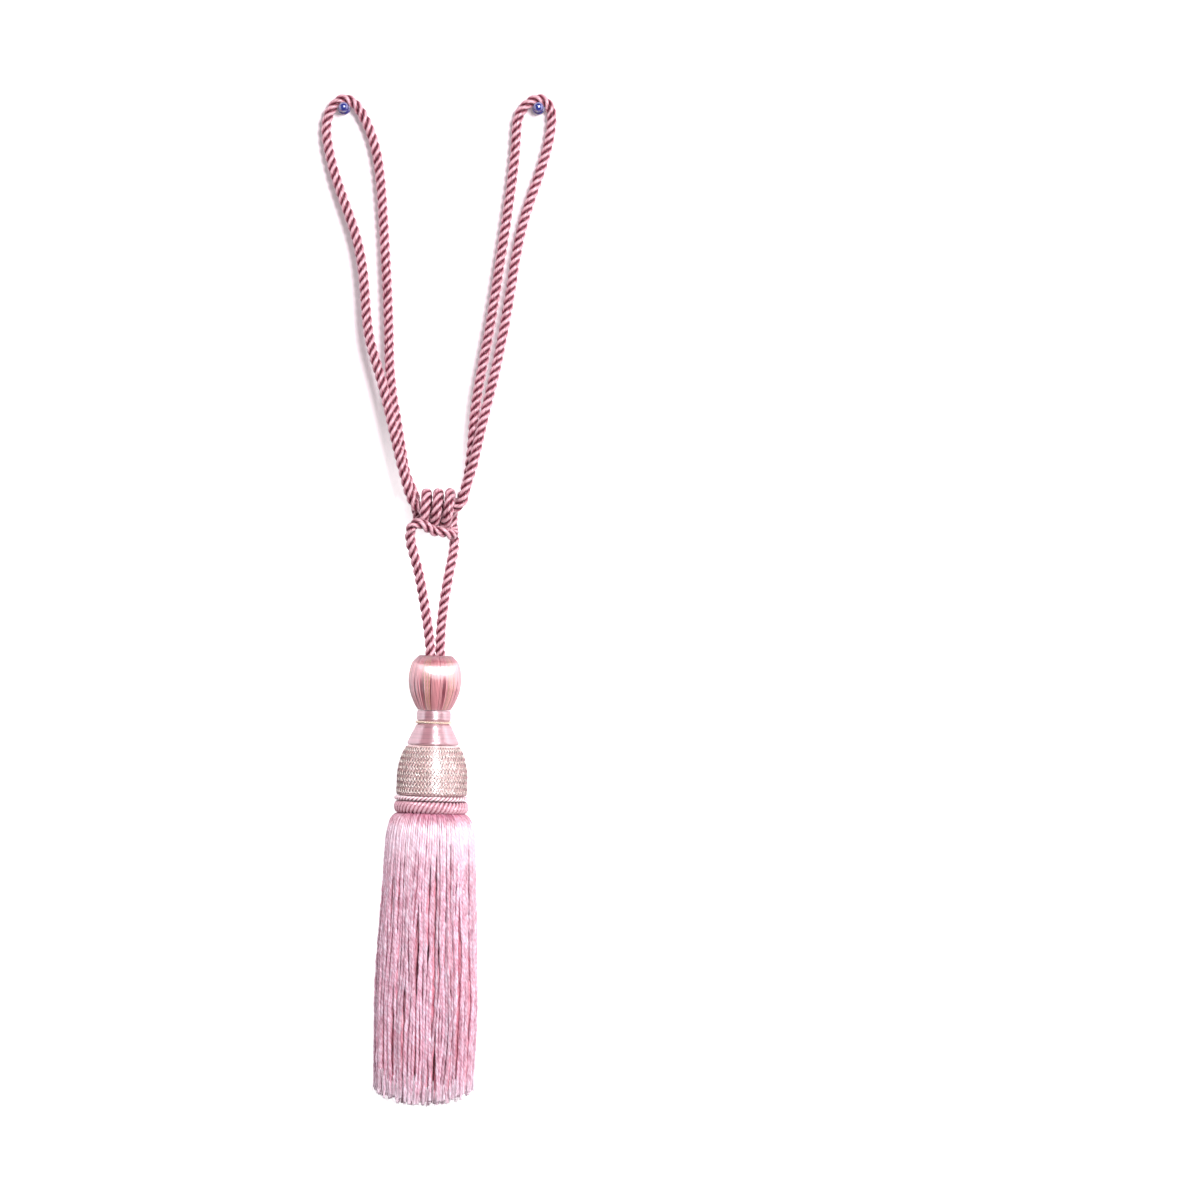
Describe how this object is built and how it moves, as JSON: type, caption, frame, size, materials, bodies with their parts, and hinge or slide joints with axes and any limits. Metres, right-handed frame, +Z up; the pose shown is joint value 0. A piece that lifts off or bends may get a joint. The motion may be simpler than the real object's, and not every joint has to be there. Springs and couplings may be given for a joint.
{
  "type": "curtain tieback tassel with the two wall pins that it hangs from",
  "caption": "Twisted-cord curtain tieback: a knotted cord looped over wall pins, ending in a tassel with a turned head, braid and long skirt.",
  "frame": {"origin": "centre of the left pin's back face, on the wall plane", "axes": "+Z up, +Y into the wall, +X from the left pin to the right pin; the front faces -Y"},
  "size_m": [0.1514, 0.0544, 0.6464],
  "materials": {
    "cord_rayon": "shiny twisted rayon, dusty pink with dark burgundy grooves",
    "ball_satin": "satin threads laid up and down, rose pink with a few gold ones",
    "neck_satin": "satin threads wound round, pale mauve pink",
    "gold_thread": "pale gold lurex thread",
    "bell_net": "net of pink and gold threads over satin",
    "gimp_rayon": "shiny plied gimp, light pink with burgundy grooves",
    "skirt_rayon": "shiny crinkled rayon threads, light dusty pink",
    "pin_plastic": "glossy royal blue moulded plastic"
  },
  "bodies": {
    "root": {"cord": "cord_rayon", "head_ball": "ball_satin", "head_neck": "neck_satin", "neck_ring": "gold_thread", "head_bell": "bell_net", "gimp_cord": "gimp_rayon", "gimp_rope": "gimp_rayon", "skirt": "skirt_rayon", "pin_left": "pin_plastic", "pin_right": "pin_plastic"}
  },
  "joints": []
}
